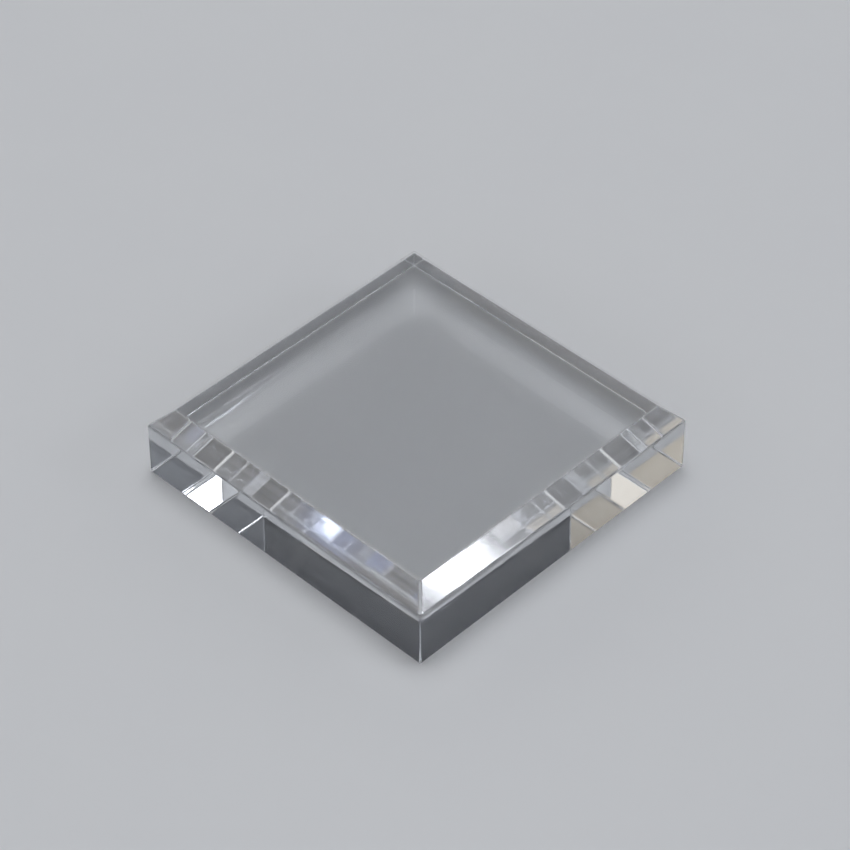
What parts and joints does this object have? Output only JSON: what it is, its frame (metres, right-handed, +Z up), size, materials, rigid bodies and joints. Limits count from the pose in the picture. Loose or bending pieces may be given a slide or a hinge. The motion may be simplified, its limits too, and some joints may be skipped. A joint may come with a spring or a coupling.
{
  "type": "acrylic display block",
  "caption": "Low square display block of solid clear acrylic with a 45 degree bevel round its top face, for standing a small exhibit on.",
  "frame": {"origin": "centre of the flat underside, at the height of the surface that the block stands on", "axes": "+Z up, out of the bevelled top face; +X and +Y square to the vertical sides"},
  "size_m": [0.1142, 0.1142, 0.0254],
  "materials": {
    "clear_acrylic": "water-clear cast acrylic, all faces polished"
  },
  "bodies": {
    "root": {"acrylic_block": "clear_acrylic"}
  },
  "joints": []
}
